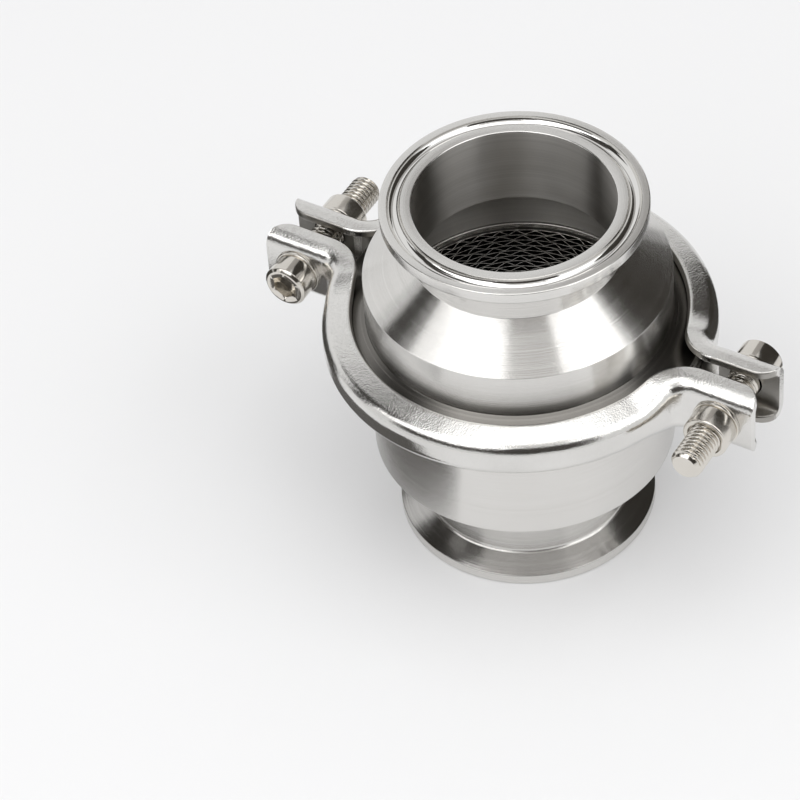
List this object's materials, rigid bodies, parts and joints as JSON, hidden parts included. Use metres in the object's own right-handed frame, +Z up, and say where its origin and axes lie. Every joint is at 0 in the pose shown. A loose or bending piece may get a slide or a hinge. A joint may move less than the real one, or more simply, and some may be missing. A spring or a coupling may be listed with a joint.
{
  "type": "flame arrestor",
  "caption": "Inline flame arrestor of turned stainless steel with clamp ports at its ends, a bolted pressed clamp round its joint and a wound crimped-ribbon element inside.",
  "frame": {"origin": "centre of the bottom port's face", "axes": "+Z up along the flow axis to the top port, +X along the clamp's ears, +Y along the clamp screws"},
  "size_m": [0.1328, 0.096, 0.0988],
  "materials": {
    "housing_steel": "turned satin",
    "clamp_steel": "pressed and polished",
    "fastener_steel": "bright",
    "element_steel": "rolled strip",
    "seal": "moulded matt"
  },
  "bodies": {
    "root": {"upper_housing": "housing_steel", "lower_housing": "housing_steel", "body_gasket": "seal", "clamp_half_front": "clamp_steel", "clamp_half_rear": "clamp_steel", "clamp_screw_left": "fastener_steel", "clamp_screw_right": "fastener_steel", "clamp_nut_left": "fastener_steel", "clamp_nut_right": "fastener_steel", "screw_washer_left": "fastener_steel", "screw_washer_right": "fastener_steel", "nut_washer_left": "fastener_steel", "nut_washer_right": "fastener_steel", "element_sleeve": "element_steel", "crimped_ribbon": "element_steel", "flat_ribbon": "element_steel", "core_tube": "element_steel", "core_bolt": "fastener_steel", "core_nut": "fastener_steel", "core_washer_top": "fastener_steel", "core_washer_bottom": "fastener_steel"}
  },
  "joints": []
}
